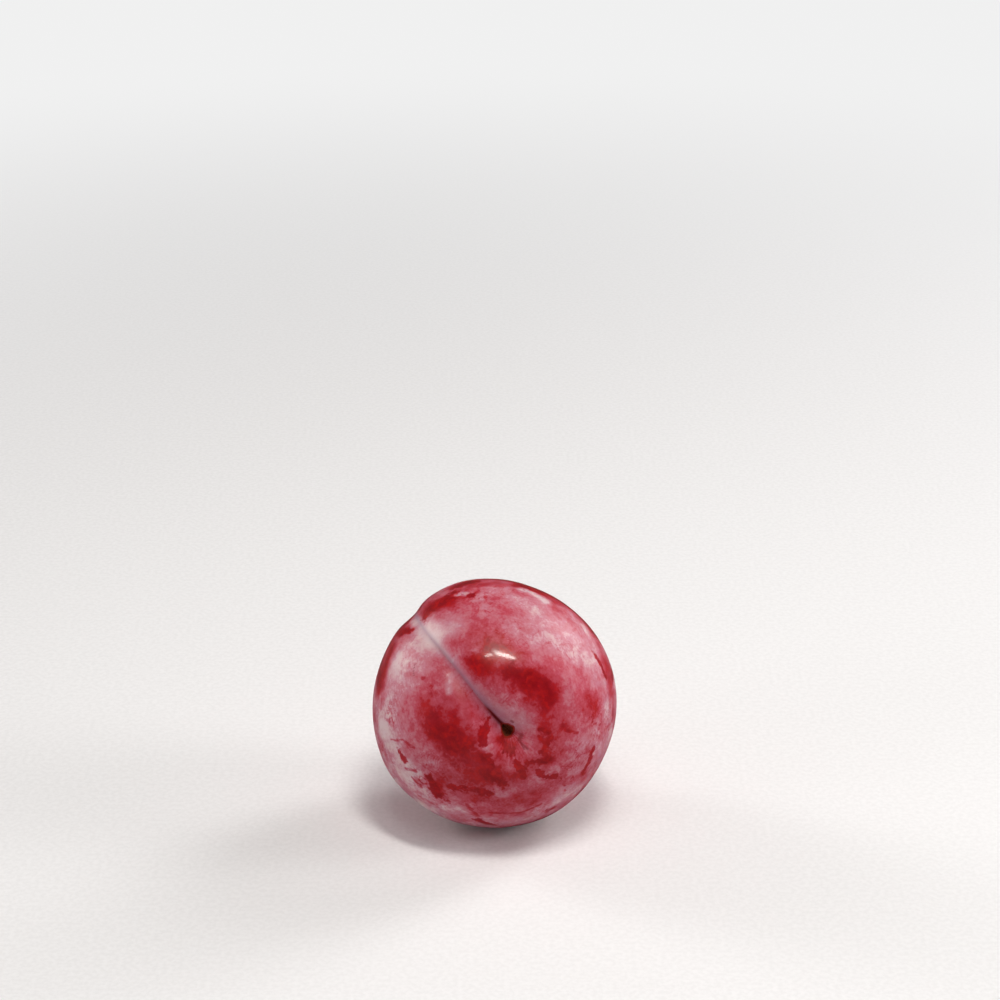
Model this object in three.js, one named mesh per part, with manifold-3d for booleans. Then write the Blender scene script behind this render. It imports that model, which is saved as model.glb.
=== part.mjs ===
// A plum of the round Japanese kind, picked, lying on its side with the stem hollow facing -Y.
//
// One solid: the whole fruit. Its skin is a distance from the heart of the fruit in every
// direction: an egg-like body with a few broad swellings, less a hollow round the stem scar and
// a fold that runs from the scar down one side to the blossom end, where the fruit once closed.
//
// Units are millimetres, +Z is up. The origin is the middle of the small flat spot that the
// fruit rests on. "Fruit axes" below are the fruit's own: X towards the fold, Y across it on
// its low side, Z out of the stem hollow. Azimuth turns from X towards Y, and polar is the
// angle from Z, both in degrees.

import * as THREE from 'three';
import { mergeVertices } from 'three/addons/utils/BufferGeometryUtils.js';
import Module from 'manifold-3d';

// ---------------------------------------------------------------- body
const RADIUS_AT_FOLD = 28.6; // half the girth, measured through the fold
const RADIUS_ACROSS = 29.2; // half the girth, measured across it
const STEM_HEIGHT = 27; // heart to the stem end, before the hollow is sunk
const BLOSSOM_HEIGHT = 26.5; // heart to the blossom end
const STEM_FULLNESS = 1.9; // 2 is an ellipse, less is more pointed, more is squarer
const BLOSSOM_FULLNESS = 2.05;
const BLOSSOM_DIMPLE_DEPTH = 0.5;
const BLOSSOM_DIMPLE_REACH = 3.5;

// ---------------------------------------------------------------- swellings
const SWELLINGS = [
  { part: 'raised cheek beside the fold', azimuth: -24, polar: 122, spread: 33, height: 2.3 },
  { part: 'low cheek', azimuth: 79, polar: 88, spread: 14, height: 0.3 },
  { part: 'back', azimuth: 168, polar: 76, spread: 24, height: 0.6 },
];

// A rolled shoulder that carries the raised cheek on round the hollow.
const ROLL = { azimuth: -67, halfWidth: 50, polar: 37.8, spread: 8.3, height: 0.5 };

// ---------------------------------------------------------------- stem hollow
const HOLLOW_DEPTH = 1.8;
const HOLLOW_REACH = 7.5;
const HOLLOW_TOWARDS_FOLD = 0.8; // how much further it reaches along X than against it
const HOLLOW_TOWARDS_SLOPE = 1.3; // and along Y
const DIP_DEPTH = 0.95; // broad sinking of the shoulders round the hollow
const DIP_REACH = 12;
const SCAR_RADIUS = 1.75; // where the stalk came off
const SCAR_DEPTH = 0.3;

// ---------------------------------------------------------------- fold
// One side is a wall that rounds over onto the raised cheek, the other a soft valley. Each
// value has one size at the stem scar and another far along the fold.
const FOLD_DEPTH = { atStem: 3.5, far: 0.95 };
const WALL_REACH = { atStem: 2.7, far: 2.85 };
const WALL_SHARPNESS = { atStem: 1, far: 1.9 }; // 1 is a crease, 2 a round bottom
const VALLEY_REACH = { atStem: 3.6, far: 3.6 };
const STEM_INFLUENCE = 14.5; // how far along the fold the stem-end sizes carry
const FOLD_WANDER = 0.3; // the fold isn't quite straight
const FOLD_WANDER_LENGTH = 28;
const FOLD_AT_BLOSSOM = 0.45; // share of its depth left at the blossom end
const WALL_TURNS_FROM = 80; // past the scar the wall curls round and runs out, in degrees
const WALL_TURNS_TO = 175;

// ---------------------------------------------------------------- pose and rest spot
const TURN_ABOUT_STEM = 128.6; // degrees, carries the fold to the upper left
const TIP_FORWARD = 76.9; // the stem end tips from straight up to facing -Y
const TURN_ON_TABLE = 9.2;
const FLAT_DEPTH = 0.5; // how far the lowest point is pressed flat

// ---------------------------------------------------------------- mesh density
const RINGS = 52; // from the stem scar to the blossom end
const SEGMENTS = 72; // round the fruit
const RING_CROWDING = 1.25; // above 1 crowds the rings at the stem end
const SEGMENT_CROWDING = 0.6; // 0 spaces the segments evenly, near 1 crowds them at the fold

const SKIN = new THREE.MeshStandardMaterial({
  name: 'plum_skin',
  color: 0xb4304a,
  roughness: 0.45,
  metalness: 0,
});

const { clamp, degToRad, radToDeg, smoothstep } = THREE.MathUtils;

function directionOf(azimuth, polar) {
  const sideways = Math.sin(polar);
  return new THREE.Vector3(
    sideways * Math.cos(azimuth),
    sideways * Math.sin(azimuth),
    Math.cos(polar),
  );
}

/** A smooth mound of height 1, falling to about a third at its reach. */
function mound(distance, reach) {
  return Math.exp(-((distance / reach) ** 2));
}

function bodyRadius(direction) {
  const stemSide = direction.z > 0;
  const height = stemSide ? STEM_HEIGHT : BLOSSOM_HEIGHT;
  const fullness = stemSide ? STEM_FULLNESS : BLOSSOM_FULLNESS;
  const sideways = Math.hypot(direction.x / RADIUS_AT_FOLD, direction.y / RADIUS_ACROSS);
  const upright = Math.abs(direction.z) / height;
  return (sideways ** fullness + upright ** fullness) ** (-1 / fullness);
}

function swellings(direction) {
  let height = 0;
  for (const lump of SWELLINGS) {
    const middle = directionOf(degToRad(lump.azimuth), degToRad(lump.polar));
    height += lump.height * mound(direction.angleTo(middle), degToRad(lump.spread));
  }
  return height;
}

function rolledShoulder(azimuth, polar) {
  const turn = THREE.MathUtils.euclideanModulo(azimuth - ROLL.azimuth + 180, 360) - 180;
  const along = Math.exp(-((turn / ROLL.halfWidth) ** 4));
  return ROLL.height * along * mound(polar - ROLL.polar, ROLL.spread);
}

function stemHollow(fromAxis, azimuth) {
  const towards = HOLLOW_TOWARDS_FOLD * Math.cos(azimuth) + HOLLOW_TOWARDS_SLOPE * Math.sin(azimuth);
  const hollow = HOLLOW_DEPTH * mound(fromAxis, HOLLOW_REACH + towards);
  const dip = DIP_DEPTH * mound(fromAxis, DIP_REACH);
  const scar = SCAR_DEPTH * Math.max(0, 1 - (fromAxis / SCAR_RADIUS) ** 4);
  return hollow + dip + scar;
}

/** Share of the wall, from 1 on the raised side to 0 on the soft side of the fold. */
function wallShare(x, across, azimuth) {
  if (x > 0) return across < 0 ? 1 : 0;
  return azimuth < 0 ? 1 - smoothstep(-azimuth, WALL_TURNS_FROM, WALL_TURNS_TO) : 0;
}

function fold(x, y, azimuth, nearStem, towardsBlossom) {
  const fromAxis = Math.hypot(x, y);
  const stemShare = nearStem * mound(fromAxis, STEM_INFLUENCE);
  const between = (size) => size.far + (size.atStem - size.far) * stemShare;
  const bend = nearStem * FOLD_WANDER * Math.sin((2 * Math.PI * fromAxis) / FOLD_WANDER_LENGTH);
  const across = y - bend;
  const away = Math.hypot(across, Math.max(-x, 0));
  const wall = Math.exp(-((away / between(WALL_REACH)) ** between(WALL_SHARPNESS)));
  const valley = mound(away, between(VALLEY_REACH));
  const share = wallShare(x, across, azimuth);
  const depth = between(FOLD_DEPTH) * (1 - (1 - FOLD_AT_BLOSSOM) * towardsBlossom);
  return depth * (share * wall + (1 - share) * valley);
}

/** Distance from the heart of the fruit to its skin, in a direction given in fruit axes. */
function skinRadius(direction) {
  const body = bodyRadius(direction);
  const x = body * direction.x;
  const y = body * direction.y;
  const fromAxis = Math.hypot(x, y);
  const azimuth = Math.atan2(y, x);
  const polar = radToDeg(Math.acos(clamp(direction.z, -1, 1)));
  const nearStem = smoothstep(direction.z, 0.05, 0.55);
  const nearBlossom = smoothstep(-direction.z, 0.5, 0.9);
  const towardsBlossom = smoothstep(-direction.z, 0, 1);
  return (
    body +
    swellings(direction) +
    rolledShoulder(radToDeg(azimuth), polar) -
    nearStem * stemHollow(fromAxis, azimuth) -
    nearBlossom * BLOSSOM_DIMPLE_DEPTH * mound(fromAxis, BLOSSOM_DIMPLE_REACH) -
    fold(x, y, radToDeg(azimuth), nearStem, towardsBlossom)
  );
}

/** Drops the zero-area triangles that a lathe leaves where its profile meets the axis. */
function withoutEmptyFaces(geometry) {
  const kept = [];
  const index = geometry.index.array;
  for (let i = 0; i < index.length; i += 3) {
    const [a, b, c] = [index[i], index[i + 1], index[i + 2]];
    if (a !== b && b !== c && c !== a) kept.push(a, b, c);
  }
  geometry.setIndex(kept);
  return geometry;
}

/** A ball of rings and segments, with its rings crowded where the hollow needs fine faces. */
function ringedBall() {
  const profile = [];
  for (let ring = RINGS; ring >= 0; ring -= 1) {
    const polar = Math.PI * (ring / RINGS) ** RING_CROWDING;
    const onAxis = ring === 0 || ring === RINGS;
    profile.push(new THREE.Vector2(onAxis ? 0 : Math.sin(polar), Math.cos(polar)));
  }
  const ball = new THREE.LatheGeometry(profile, SEGMENTS);
  ball.deleteAttribute('normal');
  ball.deleteAttribute('uv');
  return withoutEmptyFaces(mergeVertices(ball, 1e-6));
}

/** Moves every vertex of the ball out to the skin of the fruit. */
function shapeFruit(ball) {
  const position = ball.attributes.position;
  for (let i = 0; i < position.count; i += 1) {
    // The lathe turns about its own Y axis, with the stem end at the top.
    const even = Math.atan2(position.getX(i), position.getZ(i));
    const azimuth = even - SEGMENT_CROWDING * Math.sin(even);
    const polar = Math.acos(clamp(position.getY(i), -1, 1));
    const point = directionOf(azimuth, polar);
    point.multiplyScalar(skinRadius(point));
    position.setXYZ(i, point.x, point.y, point.z);
  }
  return ball;
}

function asSolid(wasm, geometry) {
  const mesh = new wasm.Mesh({
    numProp: 3,
    vertProperties: new Float32Array(geometry.attributes.position.array),
    triVerts: new Uint32Array(geometry.index.array),
  });
  return new wasm.Manifold(mesh);
}

function asGeometry(solid) {
  const mesh = solid.getMesh();
  const geometry = new THREE.BufferGeometry();
  geometry.setAttribute('position', new THREE.Float32BufferAttribute(mesh.vertProperties, 3));
  geometry.setIndex(new THREE.Uint32BufferAttribute(mesh.triVerts, 1));
  geometry.computeVertexNormals();
  return geometry;
}

/** A block that holds everything below a level. */
function blockBelow(level) {
  const side = 4 * RADIUS_ACROSS;
  const block = new THREE.BoxGeometry(side, side, side);
  block.translate(0, 0, level - side / 2);
  block.deleteAttribute('normal');
  block.deleteAttribute('uv');
  return mergeVertices(block);
}

/** The middle of the points that lie on a level, as seen from above. */
function middleAtLevel(geometry, level) {
  const spot = new THREE.Box3();
  const point = new THREE.Vector3();
  const position = geometry.attributes.position;
  for (let i = 0; i < position.count; i += 1) {
    point.fromBufferAttribute(position, i);
    if (Math.abs(point.z - level) < 0.001) spot.expandByPoint(point);
  }
  return spot.getCenter(new THREE.Vector3());
}

/** Presses the lowest point flat, and puts the middle of the flat spot at the origin. */
function restFruit(wasm, fruit) {
  fruit.computeBoundingBox();
  const level = fruit.boundingBox.min.z + FLAT_DEPTH;
  const pressed = asSolid(wasm, fruit).subtract(asSolid(wasm, blockBelow(level)));
  const resting = asGeometry(pressed);
  const middle = middleAtLevel(resting, level);
  resting.translate(-middle.x, -middle.y, -level);
  return resting;
}

const wasm = await Module();
wasm.setup();

const fruit = shapeFruit(ringedBall());
fruit.rotateZ(degToRad(TURN_ABOUT_STEM));
fruit.rotateX(degToRad(TIP_FORWARD));
fruit.rotateZ(degToRad(TURN_ON_TABLE));

const plum = new THREE.Mesh(restFruit(wasm, fruit), SKIN);
plum.name = 'plum';

const model = new THREE.Group();
model.name = 'plum_model';
model.add(plum);

export default model;
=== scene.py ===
"""A ripe red plum lying on its side, with its waxy bloom rubbed off in patches.

The fruit is one closed skin. Its form is a distance from the heart of the fruit in every
direction: an egg-like body with a few broad swellings, less the hollow round the stalk scar
and the fold that runs from the scar down one side to the blossom end. "Fruit axes" are the
fruit's own: X towards the fold, Y across it on its low side, Z out of the stem hollow.
Azimuth turns from X towards Y and polar is the angle from Z. Lengths are in metres, and in
millimetres where a name or a note says so.
"""

import math
import random

import bmesh
import bpy
import numpy as np
from mathutils import Matrix, Vector, noise


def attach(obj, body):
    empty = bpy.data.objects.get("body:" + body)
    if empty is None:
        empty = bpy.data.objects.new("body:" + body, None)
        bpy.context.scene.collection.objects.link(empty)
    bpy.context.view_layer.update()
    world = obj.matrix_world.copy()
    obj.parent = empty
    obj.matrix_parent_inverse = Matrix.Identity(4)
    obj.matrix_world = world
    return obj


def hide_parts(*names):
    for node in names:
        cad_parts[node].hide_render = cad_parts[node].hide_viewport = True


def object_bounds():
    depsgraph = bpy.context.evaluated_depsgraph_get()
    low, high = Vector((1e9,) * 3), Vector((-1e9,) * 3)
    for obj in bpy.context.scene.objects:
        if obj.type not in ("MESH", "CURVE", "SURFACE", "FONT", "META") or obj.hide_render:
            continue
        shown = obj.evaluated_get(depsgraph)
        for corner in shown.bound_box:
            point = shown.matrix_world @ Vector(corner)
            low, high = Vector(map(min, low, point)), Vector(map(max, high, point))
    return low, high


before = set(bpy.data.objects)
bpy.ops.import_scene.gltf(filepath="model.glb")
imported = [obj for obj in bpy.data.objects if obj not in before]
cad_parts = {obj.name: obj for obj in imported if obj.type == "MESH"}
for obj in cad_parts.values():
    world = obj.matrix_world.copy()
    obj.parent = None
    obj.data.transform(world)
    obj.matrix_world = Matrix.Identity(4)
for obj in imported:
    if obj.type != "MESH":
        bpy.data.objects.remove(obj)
CAD_LOW, CAD_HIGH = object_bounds()

bl_info = {
    "name": "Plum",
    "version": (1, 0, 0),
    "blender": (4, 5, 0),
    "location": "View3D > Sidebar > Plum",
    "description": "Makes a ripe red plum with a rubbed waxy bloom, and a plain studio round it",
    "category": "Add Mesh",
}

MM = 0.001
ORIGIN = (0.0, 0.0, 0.0)

# ---------- form of the fruit

# Swellings: azimuth, polar and spread in degrees, then height.
SWELLINGS = (
    # Raised cheek beside the fold.
    (-24, 122, 33, 2.3 * MM),
    # Low cheek.
    (79, 88, 14, 0.3 * MM),
    # Back.
    (168, 76, 24, 0.6 * MM),
)

# A rolled shoulder carries the raised cheek on round the hollow. Angles in degrees.
ROLL_AZIMUTH = -67
ROLL_HALF_WIDTH = 50
ROLL_POLAR = 37.8
ROLL_SPREAD = 8.3
ROLL_HEIGHT = 0.5 * MM

STEM_FULLNESS = 1.9
BLOSSOM_FULLNESS = 2.05
BLOSSOM_DIMPLE_DEPTH = 0.5 * MM
BLOSSOM_DIMPLE_REACH = 3.5 * MM

# How upright a direction is where the forms of each end begin, and where they are full.
STEM_END = (0.05, 0.55)
BLOSSOM_END = (0.5, 0.9)

HOLLOW_REACH = 7.5 * MM
HOLLOW_TOWARDS_FOLD = 0.8 * MM
HOLLOW_TOWARDS_SLOPE = 1.3 * MM
DIP_DEPTH = 0.95 * MM
DIP_REACH = 12 * MM

# The fold's sizes are pairs: at the stalk scar, and far along the fold.
WALL_REACH = (2.7 * MM, 2.85 * MM)
WALL_SHARPNESS = (1.0, 1.9)
VALLEY_REACH = (3.6 * MM, 3.6 * MM)
FOLD_FAR_DEPTH = 0.95 * MM
STEM_INFLUENCE = 14.5 * MM
FOLD_WANDER = 0.3 * MM
FOLD_WANDER_LENGTH = 28 * MM
FOLD_AT_BLOSSOM = 0.45
WALL_TURNS_FROM = math.radians(80)
WALL_TURNS_TO = math.radians(175)

# The crevice is a narrow split at the bottom of the fold. A pair says where, away from the
# stem axis, a part of it starts to change and where the change is full.
CREVICE_DEPTH = 0.1 * MM
CREVICE_WIDTH = 0.22 * MM
CREVICE_LINE_WIDTH = 0.5 * MM
CREVICE_STARTS = (0.2 * MM, 1.2 * MM)
CREVICE_CLOSES = (6.6 * MM, 11 * MM)
CREVICE_ENDS = (22 * MM, 33 * MM)
# Beyond its near part the crevice keeps this share of its depth and of its line of painted shade.
CREVICE_BEYOND = 0.24

# The scar's edge leaves a circle by shares of its radius. Angles in degrees, but the waves are
# height, count and turn in radians.
SCAR_MIDDLE = (0.48 * MM, 0.3 * MM)
SCAR_DRAWN_OUT = 0.2
SCAR_DRAWN_OUT_SPREAD = 18
SCAR_OVAL = 0.07
SCAR_OVAL_TURN = 60
SCAR_WAVES = ((0.04, 3, 1.0), (0.03, 7, 0.0))
SCAR_PIT_EDGE = (-0.08, 0.34)
SCAR_PIT_DEPTH = 0.35 * MM
SCAR_FIBRE_HEIGHT = 0.08 * MM
SCAR_FIBRE_SPACING = 0.8 * MM
SCAR_FIBRE_LEAN = 0.4
SCAR_FIBRE_WAVE = 0.25 * MM
SCAR_FIBRE_WAVE_PER_RADIAN = 0.4 * MM

PUCKER_HEIGHT = 0.015 * MM
PUCKER_COUNT = 17
PUCKER_UNEVEN = 1.5
PUCKER_UNEVEN_COUNT = 4
PUCKER_MIDDLE = 2.8 * MM
PUCKER_REACH = 1.4 * MM
UNEVEN_HEIGHT = 0.07 * MM
UNEVEN_LENGTH = 7 * MM

# How the fruit lies.
TURN_ABOUT_STEM = math.radians(128.6)
TIP_FORWARD = math.radians(76.9)
TURN_ON_TABLE = math.radians(9.2)
FLAT_DEPTH = 0.5 * MM

RINGS = 230
SEGMENTS = 300
RING_CROWDING = 1.25
SEGMENT_CROWDING = 0.6

# ---------- marks on the skin

# Every mark is a stroke: azimuth and polar where it starts, azimuth and polar where it ends, in
# degrees, then its half-width in millimetres. These are soft patches of thin and thick bloom,
# each with how much bloom it adds or takes away.
BLOOM_PATCHES = (
    # Clean patch above the hollow.
    (-40, 33, -60, 28, 1.7, -0.45),
    (-60, 31, -88, 29, 2.1, -0.4),
    (-80, 26, -91, 24, 1.4, -0.23),
    # Above the clean patch.
    (-28, 45, -46, 39, 1.6, -0.3),
    (-22, 56, -34, 46, 2.2, -0.2),
    (-49, 35, -64, 39, 1.4, 0.2),
    (-44, 62, -46, 50, 1.8, 0.2),
    # Raised side of the fold.
    (-15, 45, -22, 36, 1.9, -0.36),
    (-9, 43, -13, 38, 1.2, -0.2),
    (-5, 60, -9, 56, 1.3, -0.24),
    (-17, 41, -28, 42, 1.3, -0.24),
    (-10, 50, -19, 47, 1.3, 0.28),
    # Left cheek.
    (44, 40, 56, 29, 2.5, -0.5),
    (32, 47, 29, 39, 1.6, -0.2),
    (18, 36, 26, 24, 1.5, -0.2),
    (31, 32, 54, 21, 1.5, -0.25),
    (64, 32, 108, 28, 4.0, -0.18),
    (38, 26, 46, 24, 0.9, 0.25),
    (24, 27, 31, 20, 1.1, 0.2),
    # Left cheek, pale top.
    (21, 62, 17, 54, 1.3, -0.2),
    (18, 72, 19, 60, 2.4, 0.36),
    (13, 78, 28, 75, 2.6, 0.5),
    (20, 74, 26, 62, 2.3, 0.32),
    # Slope by the crevice.
    (8, 46, 16, 34, 1.5, 0.1),
    # A narrow pale streak of thick bloom, partly a painted highlight where a lamp glints on this
    # slope.
    (6, 44, 15, 39, 0.6, 0.42),
    # Wall round the scar.
    (-89, 25, -120, 27, 2.4, -0.14),
    (-64, 20, -110, 18, 1.4, -0.2),
    (-38, 29, -42, 23, 1.2, -0.14),
    (-30, 13, -105, 9, 2.2, 0.2),
    (-32, 20, -44, 17, 0.9, 0.25),
    # Under the scar.
    (90, 7, 150, 8, 1.2, -0.4),
    (118, 23, 156, 24, 1.6, -0.3),
    (122, 14, 135, 18, 1.0, 0.2),
    (176, 9, -174, 17, 1.2, 0.15),
    # Round the chip.
    (81, 25, 107, 25, 2.2, -0.2),
    (80, 19, 96, 19, 1.0, -0.25),
    (98, 12, 124, 17, 0.9, -0.2),
    (108, 13, 120, 14, 0.9, -0.3),
    (19, 12, 73, 8, 0.9, -0.1),
    (72, 15, 98, 14, 1.1, 0.34),
    # Petals and scuff right of the scar.
    (-124, 16, -145, 18, 1.6, -0.3),
    (-127, 27, -132, 31, 0.9, -0.24),
    (171, 18, -165, 24, 1.4, -0.3),
    (-141, 24, -152, 28, 1.1, -0.25),
    (-166, 27, -174, 26, 1.1, -0.28),
    (165, 27, 170, 31, 1.1, 0.16),
    (-178, 29, -170, 35, 1.3, 0.22),
    # Right cheek.
    (-111, 45, -122, 50, 1.8, -0.25),
    (-148, 51, -168, 54, 1.5, -0.18),
    (-144, 42, -152, 38, 1.8, 0.42),
    (-137, 50, -152, 51, 2.2, 0.42),
    (-101, 35, -114, 34, 1.7, 0.18),
    (-96, 31, -102, 27, 0.9, 0.1),
    (-94, 44, -104, 43, 1.4, 0.25),
    # Pale shoulder.
    (-60, 50, -84, 54, 2.2, 0.44),
    (-66, 60, -84, 65, 3.4, 0.55),
    # Top of the raised cheek.
    (-38, 70, -41, 64, 1.6, -0.25),
    (-36, 78, -34, 68, 1.9, 0.4),
    (-34, 85, -45, 86, 1.6, 0.4),
    (-22, 81, -33, 78, 1.1, 0.35),
    (-44, 76, -58, 72, 2.0, 0.45),
    (-48, 70, -57, 68, 1.6, 0.3),
    (-54, 85, -63, 80, 1.1, 1.3),
    # Top edge.
    (-24, 98, -34, 97, 1.3, -0.3),
    (-52, 96, -76, 94, 1.0, -0.3),
    (-51, 90, -60, 87, 1.4, -0.4),
    (-36, 97, -48, 94, 1.9, 0.65),
    (-78, 99, -100, 97, 2.0, 0.25),
    # Beyond the fold.
    (-5, 88, -18, 84, 1.9, -0.5),
    (-19, 84, -28, 82, 1.2, -0.4),
    (-20, 87, -28, 83, 0.7, 1.1),
    (-4, 77, -12, 64, 2.4, 0.55),
    # Mouth of the fold.
    (10, 94, 4, 86, 1.4, -0.4),
    (2, 101, 1, 88, 1.0, 0.7),
    (1, 86, -1, 66, 2.2, 0.6),
    (0, 68, -2, 51, 1.2, 0.45),
    (5, 71, 9, 62, 2.0, 0.42),
    # Left rim.
    (18, 88, 33, 80, 1.5, -0.5),
    (31, 87, 38, 84, 1.0, -0.5),
    (38, 93, 60, 86, 2.4, 0.35),
    (44, 80, 57, 74, 2.0, 0.4),
    (40, 68, 54, 64, 2.4, 0.75),
    (45, 72, 54, 73, 1.7, 0.8),
    (60, 86, 80, 80, 2.6, 0.35),
    (66, 71, 78, 69, 2.0, 0.55),
    (80, 80, 100, 75, 2.6, 0.35),
    (84, 66, 102, 63, 2.2, 0.5),
    # Low on the left.
    (85, 49, 97, 54, 2.1, -0.3),
    (65, 66, 84, 60, 2.0, 0.45),
    (72, 60, 78, 51, 2.0, 0.5),
    (75, 57, 82, 54, 1.0, 0.3),
    (55, 55, 70, 46, 2.0, 0.2),
    # Low in front.
    (110, 42, 160, 44, 2.0, -0.16),
    (138, 35, 162, 37, 1.8, -0.14),
    (125, 32, 134, 34, 1.2, 0.42),
    (150, 28, 165, 28, 1.4, 0.14),
    (93, 60, 112, 53, 1.8, 0.5),
    (119, 45, 126, 40, 2.0, 0.2),
    (160, 52, 180, 56, 2.1, 0.45),
    (-165, 44, -178, 46, 1.8, 0.22),
    # Bottom rim.
    (100, 74, 122, 70, 2.6, 0.38),
    (122, 62, 165, 62, 2.2, 0.5),
    (122, 72, 165, 70, 2.4, 0.35),
    (158, 62, 180, 76, 2.2, 0.4),
    # Right rim.
    (-95, 68, -108, 70, 1.0, -0.2),
    (-104, 82, -118, 78, 1.6, 0.4),
    (-120, 77, -150, 77, 2.0, 0.35),
    (-146, 68, 178, 66, 2.4, 0.5),
    (-128, 61, -140, 68, 1.6, 0.55),
    # Pale band inside the right rim.
    (-76, 80, -88, 76, 1.8, 0.45),
    (-88, 76, -98, 68, 1.6, 0.4),
    (-98, 65, -111, 61, 1.6, 0.5),
    (-98, 60, -104, 59, 1.2, 0.55),
    (-92, 58, -106, 54, 1.3, 0.34),
    (-124, 58, -153, 54, 2.0, 0.4),
    # Dimple of the blossom end.
    (0, 180, 0, 176, 2.2, 0.5),
)

# Patches where the bloom was never touched and lies smooth, with how smooth it lies.
CALM_PATCHES = (
    # Mouth of the fold.
    (1, 88, -1, 62, 2.6, 0.8),
    # Flank beyond the fold.
    (-4, 77, -12, 64, 2.2, 0.7),
    # Left cheek, pale top.
    (14, 77, 28, 74, 2.4, 0.6),
    # Pale shoulder.
    (-68, 58, -84, 65, 3.4, 0.45),
    # Slope by the crevice.
    (10, 44, 21, 22, 1.5, 0.6),
)

# Marks rubbed clean, with ragged edges.
RUBBED_MARKS = (
    # Chip beside the scar.
    (14, 15, 36, 15, 0.75),
    (36, 15, 68, 16, 1.0),
    # Tail of the scar.
    (76, 5, 108, 8, 0.5),
    (119, 9, 139, 10, 1.1),
    # Blots under the scar.
    (92, 17, 107, 19, 0.9),
    (150, 15, 156, 23, 0.9),
    (-163, 19, -166, 24, 0.8),
    (171, 18, -171, 23, 0.7),
    (118, 23, 133, 27, 1.1),
    # Petals right of the scar.
    (-121, 15, -130, 19, 0.5),
    (-140, 20, -152, 18, 0.7),
    # Scuff.
    (175, 25, 174, 28, 0.75),
    (174, 28, 177, 33, 0.6),
    (177, 33, -178, 35, 0.7),
    # Low on the left.
    (64, 63, 69, 61, 0.8),
    (85, 51, 97, 54, 1.6),
    (82, 50, 90, 51, 0.8),
    # Low in front.
    (93, 43, 122, 34, 0.9),
    # Beyond the fold.
    (-4, 85, -12, 86, 1.3),
    (-12, 87, -22, 88, 1.5),
    (-22, 96, -33, 97, 0.9),
    (-28, 82, -28, 81, 0.7),
    (9, 90, 4, 85, 1.0),
    # Top edge.
    (-53, 93, -62, 91, 0.9),
    (-66, 92, -78, 90, 0.8),
    (-82, 90, -96, 88, 0.7),
    # Right edge.
    (-97, 67, -110, 66, 0.7),
    # Left edge.
    (22, 97, 37, 87, 0.7),
    # Low on the right.
    (-148, 51, -165, 53, 0.9),
)

# Thin strokes where the bloom is scraped off.
SCRAPED_STROKES = (
    # Petals right of the scar.
    (-136, 14, -152, 19, 0.35),
    (-130, 28, -135, 36, 0.35),
    # Low on the left.
    (58, 68, 57, 59, 0.3),
    (57, 59, 61, 52, 0.35),
    (74, 63, 76, 57, 0.45),
    (80, 62, 87, 60, 0.35),
    # Low in front.
    (112, 48, 123, 55, 0.5),
    (128, 49, 148, 50, 0.4),
    (148, 50, 162, 48, 0.35),
    (-177, 44, 179, 52, 0.28),
    # By the fold.
    (17, 54, 18, 55, 0.45),
    # Right edge.
    (-128, 69, -135, 68, 0.5),
    (-129, 46, -133, 53, 0.3),
)

# Thin dark scratches, and the dry point at the blossom end.
DARK_SCRATCHES = (
    # Right of the scar.
    (-145, 6.4, -175, 7, 0.45),
    (-175, 7, -175, 12, 0.26),
    (-178, 8, 178, 11, 0.2),
    # Above the scar.
    (-54, 6.2, -44, 6.8, 0.3),
    # Left cheek.
    (14, 64, 18, 62, 0.12),
    (18, 62, 20, 60, 0.12),
    # Blossom end.
    (0, 180, 0, 178.8, 0.75),
)

MARK_RADIUS = 27 * MM
SOFT_EDGE = 1.25
CALM_IN_FOLD = 0.8
BLOOM_EVERYWHERE = 0.45
BLOOM_IN_FOLD = 0.25
BLOOM_STRIP_WIDTH = (5.0 * MM, 1.2 * MM)
# Painted shade in the fold: how wide it lies along the bottom of the fold, where it ends towards the
# blossom end, and how it lies on the slope beside the fold.
FOLD_SHADE_WIDTH = (2.0 * MM, 0.85 * MM)
FOLD_SHADE_ENDS = 0.9
SLOPE_SHADE_WIDTH = (3.0 * MM, 0.8 * MM)
SLOPE_SHADE_STARTS = (0.5 * MM, 3.0 * MM)
SLOPE_SHADE_SHARE = 0.4
FOLD_SIDES_MEET = 0.2 * MM

# Below the scar the bloom is drawn out into rays. Angles in degrees.
RAYS_AZIMUTH = 140
RAYS_HALF_WIDTH = 75
RAYS_REACH = 7.5 * MM

# The side that faces away is marked at random, from one seed. The part marked one by one has its
# middle at an azimuth and polar, and a reach, in degrees. Lengths are shares of the fruit's radius,
# and widths are in millimetres.
SEED = 26
MARKED_BY_HAND = (-15, 19)
MARKED_BY_HAND_REACH = 78
FAR_SIDE_PATCHES = 46
FAR_SIDE_PATCH_LENGTH = 0.3
FAR_SIDE_PATCH_WIDTHS = (1.2, 5.0)
FAR_SIDE_PATCH_AMOUNTS = (-0.42, -0.3, 0.3)
FAR_SIDE_MARKS = 22
FAR_SIDE_MARK_LENGTH = 0.15
FAR_SIDE_MARK_WIDTHS = (0.4, 1.6)

# ---------- looks of the skin

# Clouds: size in millimetres, warp, detail and softness.
BROAD_CLOUDS = (6.5, 0.8, 3.0, 0.22)
MIDDLING_CLOUDS = (1.9, 1.3, 3.0, 0.25)
FINE_CLOUDS = (0.55, 1.0, 2.0, 0.25)
FLAKED_CLOUDS = (2.8, 1.6, 5.0, 0.05)
HANDLED_CLOUDS = (9.0, 0.6, 1.0, 0.12)
TORN_CLOUDS = (2.2, 1.5, 3.0, 0.15)
WARM_CLOUDS = (4.0, 1.0, 3.0, 0.2)
WARM_FLECKS = (0.9, 1.4, 4.0, 0.12)
DEEP_CLOUDS = (2.4, 1.4, 5.0, 0.2)
GRAIN = (0.35, 0.5, 3.0, 0.3)
RIPPLES = (1.1, 0.5, 2.0, 0.3)

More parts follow.
